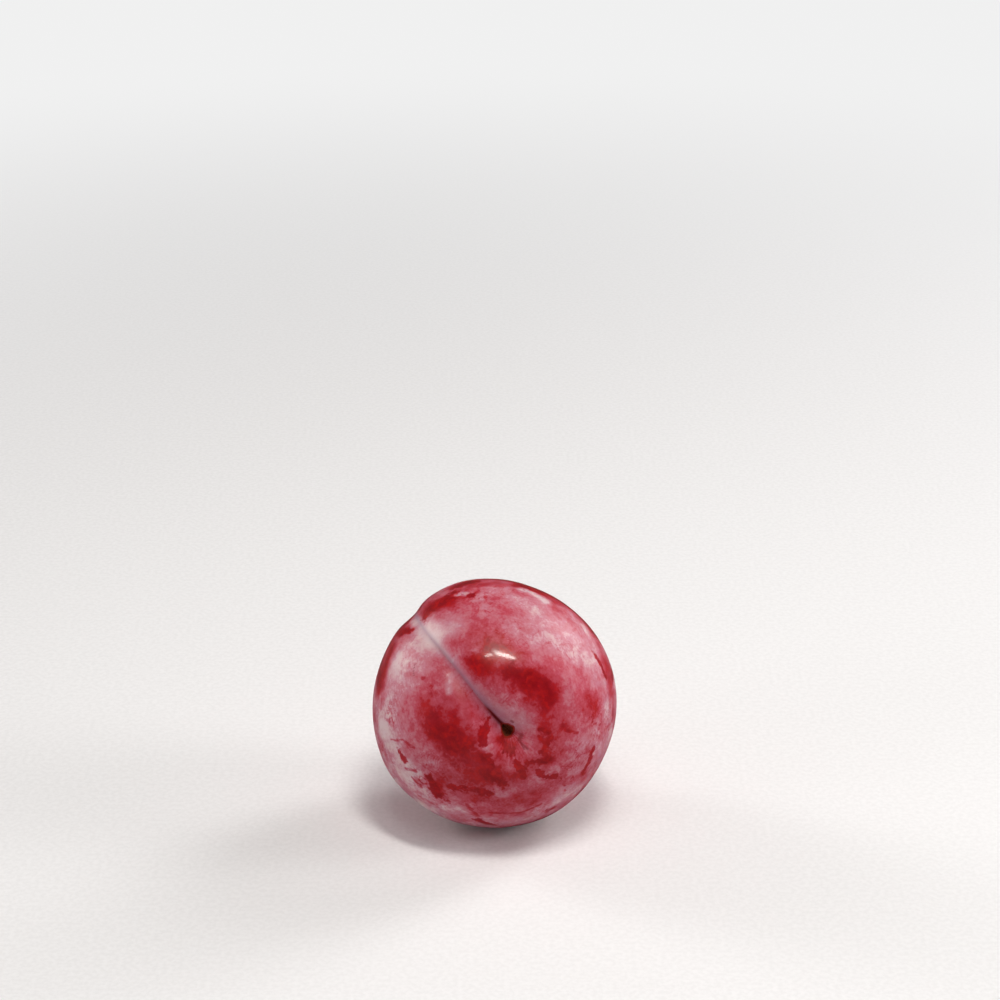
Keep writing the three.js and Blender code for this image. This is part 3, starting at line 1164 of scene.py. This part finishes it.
def rays_group():
    """Streaks that run out from the stem axis, with frayed ends."""
    group, given = new_group("Rays", Sideways=ORIGIN, From_Stem=5.0, Around=6.0, Length=4.0)
    around = vector_step(group, "SCALE", given["Sideways"], scale=given["Around"])
    along = math_step(group, "DIVIDE", given["From Stem"], given["Length"])
    upright = add(group, "ShaderNodeCombineXYZ", {"Z": along}).outputs[0]
    outwards = vector_step(group, "ADD", around, upright)
    ray = noise_of(group, outwards, Scale=1.0, Detail=3.0)["Fac"]
    return finished(group, Ray=soft_ramp(group, ray, start=0.32, full=0.68))


def dots_group():
    """Small round dots, scattered so that a share of the places hold one."""
    group, given = new_group("Dots", Place=ORIGIN, Spacing=1.5, Radius=0.15, Share=0.5)
    scale = math_step(group, "DIVIDE", 1.0, given["Spacing"])
    cells = add(group, "ShaderNodeTexVoronoi", {"Vector": given["Place"], "Scale": scale}).outputs
    distance = math_step(group, "MULTIPLY", cells["Distance"], given["Spacing"])
    core = math_step(group, "MULTIPLY", given["Radius"], DOT_CORE)
    inside = soft_ramp(group, distance, given["Radius"], core)
    draw = add(group, "ShaderNodeSeparateColor", {0: cells["Color"]}).outputs["Red"]
    chosen = math_step(group, "LESS_THAN", draw, given["Share"])
    return finished(group, Dot=math_step(group, "MULTIPLY", inside, chosen))


def threads_group():
    """Thin winding threads, with a given spacing and half-width in millimetres."""
    group, given = new_group("Threads", Place=ORIGIN, Spacing=4.0, Half_Width=0.1)
    scale = math_step(group, "DIVIDE", 1.0, given["Spacing"])
    field = noise_of(group, given["Place"], Scale=scale, Detail=2.0, Distortion=0.8)["Fac"]
    off = math_step(group, "ABSOLUTE", math_step(group, "SUBTRACT", field, 0.5))
    reach = math_step(group, "MULTIPLY", given["Half Width"], scale)
    return finished(group, Thread=soft_ramp(group, off, reach, 0.0))


def fraying_group():
    """Turns a smooth mark into one with a ragged edge."""
    group, given = new_group(
        "Fraying", Place=ORIGIN, Mark=0.0, Fray=0.5, Grain=0.8, Softness=0.06
    )
    scale = math_step(group, "DIVIDE", 1.0, given["Grain"])
    edge = noise_of(group, given["Place"], Scale=scale, Detail=5.0, Roughness=0.62)["Fac"]
    centred = math_step(group, "SUBTRACT", edge, 0.5)
    frayed = math_step(group, "MULTIPLY_ADD", centred, given["Fray"], given["Mark"])
    low = math_step(group, "SUBTRACT", 0.5, given["Softness"])
    high = math_step(group, "ADD", 0.5, given["Softness"])
    return finished(group, Mark=soft_ramp(group, frayed, low, high))


# ---------- the skin's material


class SkinNodes:
    """Builds the material of the skin: deep red under a clouded wax bloom."""

    def __init__(self, finish, heart, pose):
        self.finish = finish
        self.material = bpy.data.materials.new("plum_skin_with_bloom")
        self.tree = empty_tree(self.material)
        self.clouding = clouding_group()
        self.dots = dots_group()
        self.fraying = fraying_group()
        self.wiping = wiping_group()
        axes = effect(self.tree, fruit_axes_group(heart, pose))
        self.place = axes["Place"]
        self.sideways = axes["Sideways"]
        self.from_stem = axes["From Stem"]
        self.scar = stored(self.tree, "scar")

    def placed(self, group, **inputs):
        """What a shared effect gives at the place being shaded."""
        return effect(self.tree, group, Place=self.place, **inputs)[0]

    def cloud(self, size, warp, detail, softness):
        """Clouds from -0.5 to 0.5."""
        cloud = self.placed(self.clouding, Size=size, Warp=warp, Detail=detail, Softness=softness)
        return math_step(self.tree, "SUBTRACT", cloud, 0.5)

    def frayed(self, mark, fray, grain, softness):
        """A mark with a ragged edge."""
        return self.placed(self.fraying, Mark=mark, Fray=fray, Grain=grain, Softness=softness)

    def dotted(self, spacing, radius, share):
        """Small round dots."""
        return self.placed(self.dots, Spacing=spacing, Radius=radius, Share=share)

    def wiped(self, lean, width, stretch):
        """Fine strokes that run one way."""
        return self.placed(self.wiping, Lean=lean, Width=width, Stretch=stretch)

    def times(self, value, other, clamp=False):
        """value * other."""
        return math_step(self.tree, "MULTIPLY", value, other, clamp=clamp)

    def plus(self, base, amount, value):
        """base + amount * value."""
        return math_step(self.tree, "MULTIPLY_ADD", value, amount, base)

    def less(self, base, mask, amount=1.0):
        """base, taken down to (1 - amount) of itself where the mask is 1."""
        left = math_step(self.tree, "MULTIPLY_ADD", mask, -amount, 1.0)
        return self.times(base, left)

    def bloom(self):
        """Thickness of the wax from 0 to 1, with its clouds, wipes, rays and rubbed marks."""
        tree = self.tree
        middling = self.cloud(*MIDDLING_CLOUDS)
        fine = self.cloud(*FINE_CLOUDS)
        patches = self.plus(stored(tree, "bloom"), MIDDLING_IN_PATCHES, middling)
        patches = self.plus(patches, FINE_IN_PATCHES, fine)
        patches = math_step(tree, "SMOOTH_MAX", patches, LEAST_BLOOM, LEAST_BLOOM_SOFTNESS)
        clouds = self.plus(0.0, BROAD_STRENGTH, self.cloud(*BROAD_CLOUDS))
        clouds = self.plus(clouds, MIDDLING_STRENGTH, middling)
        clouds = self.plus(clouds, FINE_STRENGTH, fine)
        wiped = math_step(tree, "SUBTRACT", self.wiped(*WIPED_STROKES), 0.5)
        clouds = self.plus(clouds, WIPED_STRENGTH, wiped)
        ray = effect(
            tree, rays_group(), Sideways=self.sideways, From_Stem=self.from_stem,
            Around=RAYS_AROUND, Length=RAYS_LENGTH,
        )[0]
        ray = math_step(tree, "SUBTRACT", ray, 0.5)
        ray = self.times(ray, stored(tree, "below_scar"))
        clouds = self.plus(clouds, RAYS_STRENGTH, ray)
        flaked = self.plus(0.5, 1.0, self.cloud(*FLAKED_CLOUDS))
        handled = self.plus(0.5, 1.0, self.cloud(*HANDLED_CLOUDS))
        clouds = self.plus(clouds, FLAKED_STRENGTH, self.times(flaked, handled))
        thread = self.placed(threads_group(), Spacing=THREAD_SPACING, Half_Width=THREAD_HALF_WIDTH)
        clouds = self.plus(clouds, THREADS_STRENGTH, self.times(thread, handled))
        clouds = self.less(clouds, stored(tree, "calm"))
        value = self.times(patches, math_step(tree, "ADD", clouds, CLOUDS_MIDDLE))
        torn = self.plus(stored(tree, "rubbed"), TORN_BY_CLOUDS, self.cloud(*TORN_CLOUDS))
        torn = self.plus(torn, TORN_BY_RAYS, ray)
        rubbed = self.frayed(torn, *RUBBED_EDGE)
        scraped = self.frayed(stored(tree, "scraped"), *SCRAPED_EDGE)
        scraped = self.times(scraped, SCRAPED_SHARE)
        thickness = self.less(value, math_step(tree, "MAXIMUM", rubbed, scraped), RUBBED_OFF)
        seen_through = math_step(tree, "EXPONENT", self.times(thickness, -COVERING_POWER))
        return math_step(tree, "SUBTRACT", 1.0, seen_through, clamp=True)

    def covered_skin(self, bloom):
        """The colour of the skin for each amount of bloom, before its red is clouded."""
        ramp = add(self.tree, "ShaderNodeValToRGB", {"Fac": bloom})
        stops = ramp.color_ramp.elements
        while len(stops) < len(BLOOM_COLOURS):
            stops.new(0.5)
        for stop, (position, name) in zip(stops, BLOOM_COLOURS):
            stop.position = position
            stop.color = (*getattr(self.finish, name), 1.0)
        return ramp.outputs["Color"]

    def skin_colour(self, bloom):
        """Red of the skin, covered by the bloom."""
        tree, finish = self.tree, self.finish
        covered = self.covered_skin(bloom)
        thin = soft_ramp(tree, bloom, *WARM_BLOOM)
        warmth = math_step(tree, "ADD", self.cloud(*WARM_CLOUDS), WARM_MIDDLE)
        warmth = math_step(tree, "ADD", warmth, self.cloud(*WARM_FLECKS), clamp=True)
        colour = blend(tree, self.times(warmth, thin), covered, finish.warm_red)
        depth = math_step(tree, "ADD", self.cloud(*DEEP_CLOUDS), DEEP_MIDDLE)
        depth = self.times(depth, soft_ramp(tree, bloom, *DEEP_BLOOM, 0.0, DEEP_SHARE))
        return blend(tree, depth, colour, finish.deep_red)

    def colour(self, bloom, dots):
        """Colour of everything on the skin."""
        tree, finish = self.tree, self.finish
        colour = self.skin_colour(bloom)
        # Painted shade: along the bottom of the fold and on the slope beside it, the bloom is greyed
        # towards the shaded colour.
        kept = soft_ramp(tree, bloom, *SHADED_BLOOM, 0.0, SHADED_SHARE)
        kept = self.times(stored(tree, "fold_shade"), kept)
        colour = blend(tree, kept, colour, finish.shaded_bloom)
        colour = blend(tree, self.times(dots, DOTS_SHARE), colour, finish.dots)
        pores = self.times(self.dotted(*PORES), PORES_SHARE)
        colour = blend(tree, pores, colour, finish.pores)
        thick = soft_ramp(tree, bloom, *CRUMBLY_BLOOM)
        crumbs = self.times(self.dotted(*CRUMBS), thick)
        colour = blend(tree, self.times(crumbs, CRUMBS_SHARE), colour, finish.dry_bloom)
        # The crevice line: bare dark red skin near the scar, and farther along the fold a faint line
        # of painted shade in the crease.
        creased = self.times(stored(tree, "crevice"), CREVICE_STRENGTH, clamp=True)
        scratched = self.frayed(stored(tree, "scratch"), *SCRATCHED_EDGE)
        dark = math_step(tree, "MAXIMUM", creased, self.times(scratched, SCRATCHED_SHARE))
        colour = blend(tree, dark, colour, finish.crevice)
        # Painted glow: an orange-red ring at the scar's edge, for light shining through the flesh.
        rim = self.frayed(soft_ramp(tree, self.scar, *SCAR_RIM_GLOW), *SCAR_RIM_GLOW_EDGE)
        colour = blend(tree, rim, colour, finish.scar_rim_glow)
        floor = blend(tree, self.wiped(*SCAR_FIBRES), finish.scar, finish.scar_fibre)
        inside = self.frayed(soft_ramp(tree, self.scar, *SCAR_FLOOR), *SCAR_FLOOR_EDGE)
        return blend(tree, inside, colour, floor)

    def relief(self, bloom, dots):
        """Fine bumps: the edge of the wax, its grain, and the dots."""
        height = self.plus(0.0, BLOOM_BUMP, bloom)
        height = self.plus(height, GRAIN_BUMP, self.cloud(*GRAIN))
        height = self.plus(height, RIPPLES_BUMP, self.cloud(*RIPPLES))
        height = self.plus(height, DOTS_BUMP, dots)
        inputs = {"Strength": 0.8, "Distance": BUMP_DISTANCE, "Height": height}
        return add(self.tree, "ShaderNodeBump", inputs).outputs[0]

    def build(self):
        """The finished material."""
        tree, finish = self.tree, self.finish
        bloom = self.bloom()
        dots = self.less(self.dotted(*PALE_DOTS), soft_ramp(tree, bloom, *DOTLESS_BLOOM))
        inside_scar = soft_ramp(tree, self.scar, *SCAR_MATT)
        gloss = self.less(soft_ramp(tree, bloom, *GLOSSY_BLOOM, *GLOSS), inside_scar)
        dull = self.times(stored(tree, "below_scar"), DULL_BELOW_SCAR, clamp=True)
        gloss = self.less(gloss, dull)
        roughness = soft_ramp(tree, bloom, *MATT_BLOOM, *ROUGHNESS)
        roughness = self.plus(roughness, ROUGH_BELOW_SCAR, stored(tree, "below_scar"))
        inputs = {
            "Base Color": self.colour(bloom, dots),
            "Roughness": math_step(tree, "MAXIMUM", roughness, inside_scar),
            "IOR": 1.45,
            "Specular IOR Level": 0.36,
            "Subsurface Weight": finish.softness,
            "Subsurface Radius": (1.0, 0.25, 0.12),
            "Subsurface Scale": 2.5 * MM,
            "Coat Weight": gloss,
            "Coat Roughness": 0.1,
            "Sheen Weight": finish.dust,
            "Sheen Roughness": 0.3,
            "Sheen Tint": finish.dry_bloom,
            "Normal": self.relief(bloom, dots),
        }
        shader = add(tree, "ShaderNodeBsdfPrincipled", inputs)
        add(tree, "ShaderNodeOutputMaterial", {"Surface": shader.outputs[0]})
        lay_out(tree)
        return self.material


# ---------- operators


def put_in_scene(name, data):
    """Replaces any object of that name with a new one in the scene."""
    old = bpy.data.objects.get(name)
    if old:
        bpy.data.objects.remove(old)
    made = bpy.data.objects.new(name, data)
    bpy.context.scene.collection.objects.link(made)
    return made


class PLUM_OT_make_fruit(bpy.types.Operator):
    """Make the plum's skin in place of the CAD solid"""

    bl_idname = "plum.make_fruit"
    bl_label = "Make the Plum"
    bl_options = {"REGISTER", "UNDO"}

    def execute(self, context):
        scene = context.scene
        mesh, heart, pose = fruit_mesh(scene.plum_form)
        mesh.materials.append(SkinNodes(scene.plum_finish, heart, pose).build())
        fruit = put_in_scene("plum_fruit", mesh)
        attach(fruit, "root")
        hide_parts("plum")
        return {"FINISHED"}


def floor_material(stage):
    """Matt pale paper with a faint grain that runs into the backdrop far away.

    It is shown darker in reflections, so that gloss stays deep.
    """
    material = bpy.data.materials.new("plum_floor_paper")
    tree = empty_tree(material)
    place = add(tree, "ShaderNodeTexCoord").outputs["Object"]
    grain = noise_of(tree, place, Scale=900.0, Detail=4.0)["Fac"]
    grain = soft_ramp(tree, grain, start=0.3, full=0.7)
    darker = tuple(FLOOR_GRAIN_SHADE * part for part in stage.floor)
    paper = blend(tree, grain, darker, stage.floor)
    rays = add(tree, "ShaderNodeLightPath").outputs
    mirrored = blend(tree, rays["Is Glossy Ray"], paper, stage.floor_in_gloss)
    far = soft_ramp(tree, length_of(tree, place), *FLOOR_FADES)
    seen_far = math_step(tree, "MULTIPLY", far, rays["Is Camera Ray"])
    inputs = {
        "Base Color": blend(tree, seen_far, mirrored, BLACK),
        "Roughness": 0.85,
        "Specular IOR Level": 0.1,
        "Emission Color": blend(tree, seen_far, BLACK, stage.backdrop),
        "Emission Strength": 1.0,
    }
    shader = add(tree, "ShaderNodeBsdfPrincipled", inputs)
    add(tree, "ShaderNodeOutputMaterial", {"Surface": shader.outputs[0]})
    lay_out(tree)
    return material


def make_floor(stage):
    """A wide flat floor."""
    bm = bmesh.new()
    bmesh.ops.create_grid(bm, x_segments=1, y_segments=1, size=FLOOR_SIZE)
    mesh = bpy.data.meshes.new("plum_floor")
    bm.to_mesh(mesh)
    bm.free()
    mesh.materials.append(floor_material(stage))
    put_in_scene("plum_floor", mesh)


def soften_edge(light, full):
    """Fades a light from a bright middle, which is a share of its width, to its edge."""
    tree = empty_tree(light)
    across = add(tree, "ShaderNodeNewGeometry").outputs["Parametric"]
    distance = length_of(tree, vector_step(tree, "SUBTRACT", across, LIGHT_MIDDLE))
    strength = soft_ramp(tree, distance, LIGHT_EDGE, LIGHT_EDGE * full)
    glow = add(tree, "ShaderNodeEmission", {"Strength": strength})
    add(tree, "ShaderNodeOutputLight", {"Surface": glow.outputs[0]})
    lay_out(tree)


def make_softboxes(stage, target):
    """The softboxes, all turned towards the fruit."""
    for name, direction, distance, width, height, turn, full, watts, colour, gloss in SOFTBOXES:
        light = bpy.data.lights.new("softbox " + name, "AREA")
        light.shape = "ELLIPSE"
        light.size = width
        light.size_y = height
        light.energy = watts * stage.light
        light.color = colour
        soften_edge(light, full)
        softbox = put_in_scene(light.name, light)
        away = Vector(direction).normalized()
        softbox.location = target + distance * away
        turned = Matrix.Rotation(math.radians(turn), 3, "Z")
        facing = away.to_track_quat("Z", "Y").to_matrix() @ turned
        softbox.rotation_euler = facing.to_euler()
        softbox.visible_camera = False
        softbox.visible_glossy = gloss


def make_air(scene, stage):
    """A pale backdrop for the camera, and a weak even light for everything else."""
    scene.world = bpy.data.worlds.new("plum_air")
    tree = empty_tree(scene.world)
    rays = add(tree, "ShaderNodeLightPath").outputs
    strength = math_step(tree, "MULTIPLY_ADD", rays["Is Glossy Ray"], -AIR_DARKER_IN_GLOSS, 1.0)
    strength = math_step(tree, "MULTIPLY", strength, stage.fill)
    lit = add(tree, "ShaderNodeBackground", {"Color": WHITE, "Strength": strength})
    seen = add(tree, "ShaderNodeBackground", {"Color": stage.backdrop, "Strength": 1.0})
    inputs = {0: rays["Is Camera Ray"], 1: lit.outputs[0], 2: seen.outputs[0]}
    mixed = add(tree, "ShaderNodeMixShader", inputs)
    add(tree, "ShaderNodeOutputWorld", {"Surface": mixed.outputs[0]})
    lay_out(tree)


def make_camera(scene, target):
    """A camera that looks down along the frame's +Y, with the fruit low in the picture."""
    data = bpy.data.cameras.new("plum_camera")
    data.lens = LENS
    data.sensor_width = SENSOR
    data.clip_start = 0.01
    data.clip_end = 20.0
    camera = put_in_scene("plum_camera", data)
    tilt = Matrix.Rotation(math.pi / 2.0 - CAMERA_TILT, 3, "X")
    focal = LENS / SENSOR * PICTURE_SIDE
    across = (FRUIT_ACROSS_PICTURE - PICTURE_SIDE / 2.0) / focal
    down = (FRUIT_DOWN_PICTURE - PICTURE_SIDE / 2.0) / focal
    sight = tilt @ Vector((across, -down, -1.0)).normalized()
    camera.location = target - CAMERA_DISTANCE * sight
    camera.rotation_euler = tilt.to_euler()
    scene.camera = camera


class PLUM_OT_make_stage(bpy.types.Operator):
    """Make the floor, the softboxes, the air and the camera"""

    bl_idname = "plum.make_stage"
    bl_label = "Make the Stage"
    bl_options = {"REGISTER", "UNDO"}

    def execute(self, context):
        scene = context.scene
        stage = scene.plum_stage
        target = (CAD_LOW + CAD_HIGH) / 2.0
        make_floor(stage)
        make_softboxes(stage, target)
        make_air(scene, stage)
        make_camera(scene, target)
        scene.view_settings.view_transform = "Standard"
        return {"FINISHED"}


class PLUM_PT_sidebar(bpy.types.Panel):
    """Sizes and colours of the plum, and buttons that make it"""

    bl_idname = "PLUM_PT_sidebar"
    bl_label = "Plum"
    bl_space_type = "VIEW_3D"
    bl_region_type = "UI"
    bl_category = "Plum"

    def draw(self, context):
        for settings, button in (
            (context.scene.plum_form, None),
            (context.scene.plum_finish, "plum.make_fruit"),
            (context.scene.plum_stage, "plum.make_stage"),
        ):
            box = self.layout.box()
            for name in settings.__annotations__:
                box.prop(settings, name)
            if button:
                box.operator(button)


SETTINGS = {"plum_form": PlumForm, "plum_finish": PlumFinish, "plum_stage": PlumStage}
CLASSES = (*SETTINGS.values(), PLUM_OT_make_fruit, PLUM_OT_make_stage, PLUM_PT_sidebar)


def register():
    for made in CLASSES:
        bpy.utils.register_class(made)
    for name, group in SETTINGS.items():
        setattr(bpy.types.Scene, name, bpy.props.PointerProperty(type=group))


def unregister():
    for name in SETTINGS:
        delattr(bpy.types.Scene, name)
    for made in reversed(CLASSES):
        bpy.utils.unregister_class(made)


def main():
    register()
    bpy.ops.plum.make_fruit()
    bpy.ops.plum.make_stage()


if __name__ == "__main__":
    main()
